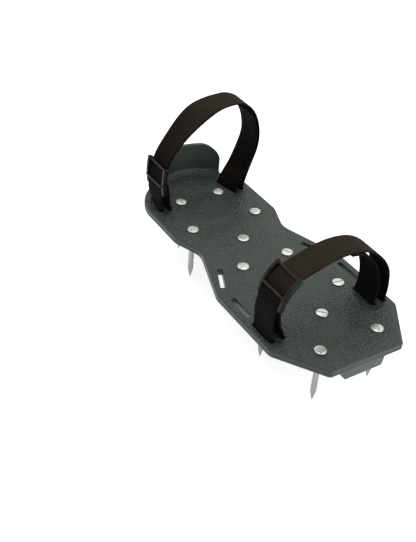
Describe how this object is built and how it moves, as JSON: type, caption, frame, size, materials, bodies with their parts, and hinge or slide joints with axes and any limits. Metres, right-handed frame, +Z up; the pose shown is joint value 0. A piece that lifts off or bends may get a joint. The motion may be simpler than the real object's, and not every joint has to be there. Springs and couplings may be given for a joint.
{
  "type": "lawn aerator sandal",
  "caption": "Strap-on lawn aerator sandal: moulded green sole with a heel cup and bolted spikes, held to a boot by two buckled webbing straps.",
  "frame": {"origin": "under the middle of the sole, level with the spike tips", "axes": "+Y from the toe to the heel, +X to the side away from the buckles, +Z up"},
  "size_m": [0.128, 0.3, 0.1497],
  "materials": {
    "sole": "fine pebbled grain, satin",
    "spikes": "bright zinc plate",
    "nuts": "bright zinc plate",
    "webbing": "ribbed woven polypropylene",
    "buckles": "satin moulded"
  },
  "bodies": {
    "base": {"sole": "sole", "spike_01": "spikes", "spike_02": "spikes", "spike_03": "spikes", "spike_04": "spikes", "spike_05": "spikes", "spike_06": "spikes", "spike_07": "spikes", "spike_08": "spikes", "spike_09": "spikes", "spike_10": "spikes", "spike_11": "spikes", "spike_12": "spikes", "spike_13": "spikes", "nut_01": "nuts", "nut_02": "nuts", "nut_03": "nuts", "nut_04": "nuts", "nut_05": "nuts", "nut_06": "nuts", "nut_07": "nuts", "nut_08": "nuts", "nut_09": "nuts", "nut_10": "nuts", "nut_11": "nuts", "nut_12": "nuts", "nut_13": "nuts"},
    "front_strap": {"front_strap": "webbing"},
    "heel_strap": {"heel_strap": "webbing"},
    "front_buckle": {"front_buckle": "buckles"},
    "heel_buckle": {"heel_buckle": "buckles"}
  },
  "joints": [
    {"name": "front_strap_rock", "type": "hinge", "parent": "base", "child": "front_strap", "pos_m": [0, -0.088, 0.05025], "axis": [1, 0, 0], "range_deg": [-11, 11], "stiffness_Nm_per_rad": 0.12},
    {"name": "heel_strap_rock", "type": "hinge", "parent": "base", "child": "heel_strap", "pos_m": [0, 0.1083, 0.05025], "axis": [1, 0, 0], "range_deg": [-8, 11], "stiffness_Nm_per_rad": 0.15},
    {"name": "front_buckle_slide", "type": "hinge", "parent": "front_strap", "child": "front_buckle", "pos_m": [-0.0215, -0.088, 0.0735], "axis": [0, 1, 0], "range_deg": [-12, 6]},
    {"name": "heel_buckle_slide", "type": "hinge", "parent": "heel_strap", "child": "heel_buckle", "pos_m": [0.029, 0.1083, 0.073], "axis": [0, 1, 0], "range_deg": [-3, 4]}
  ]
}
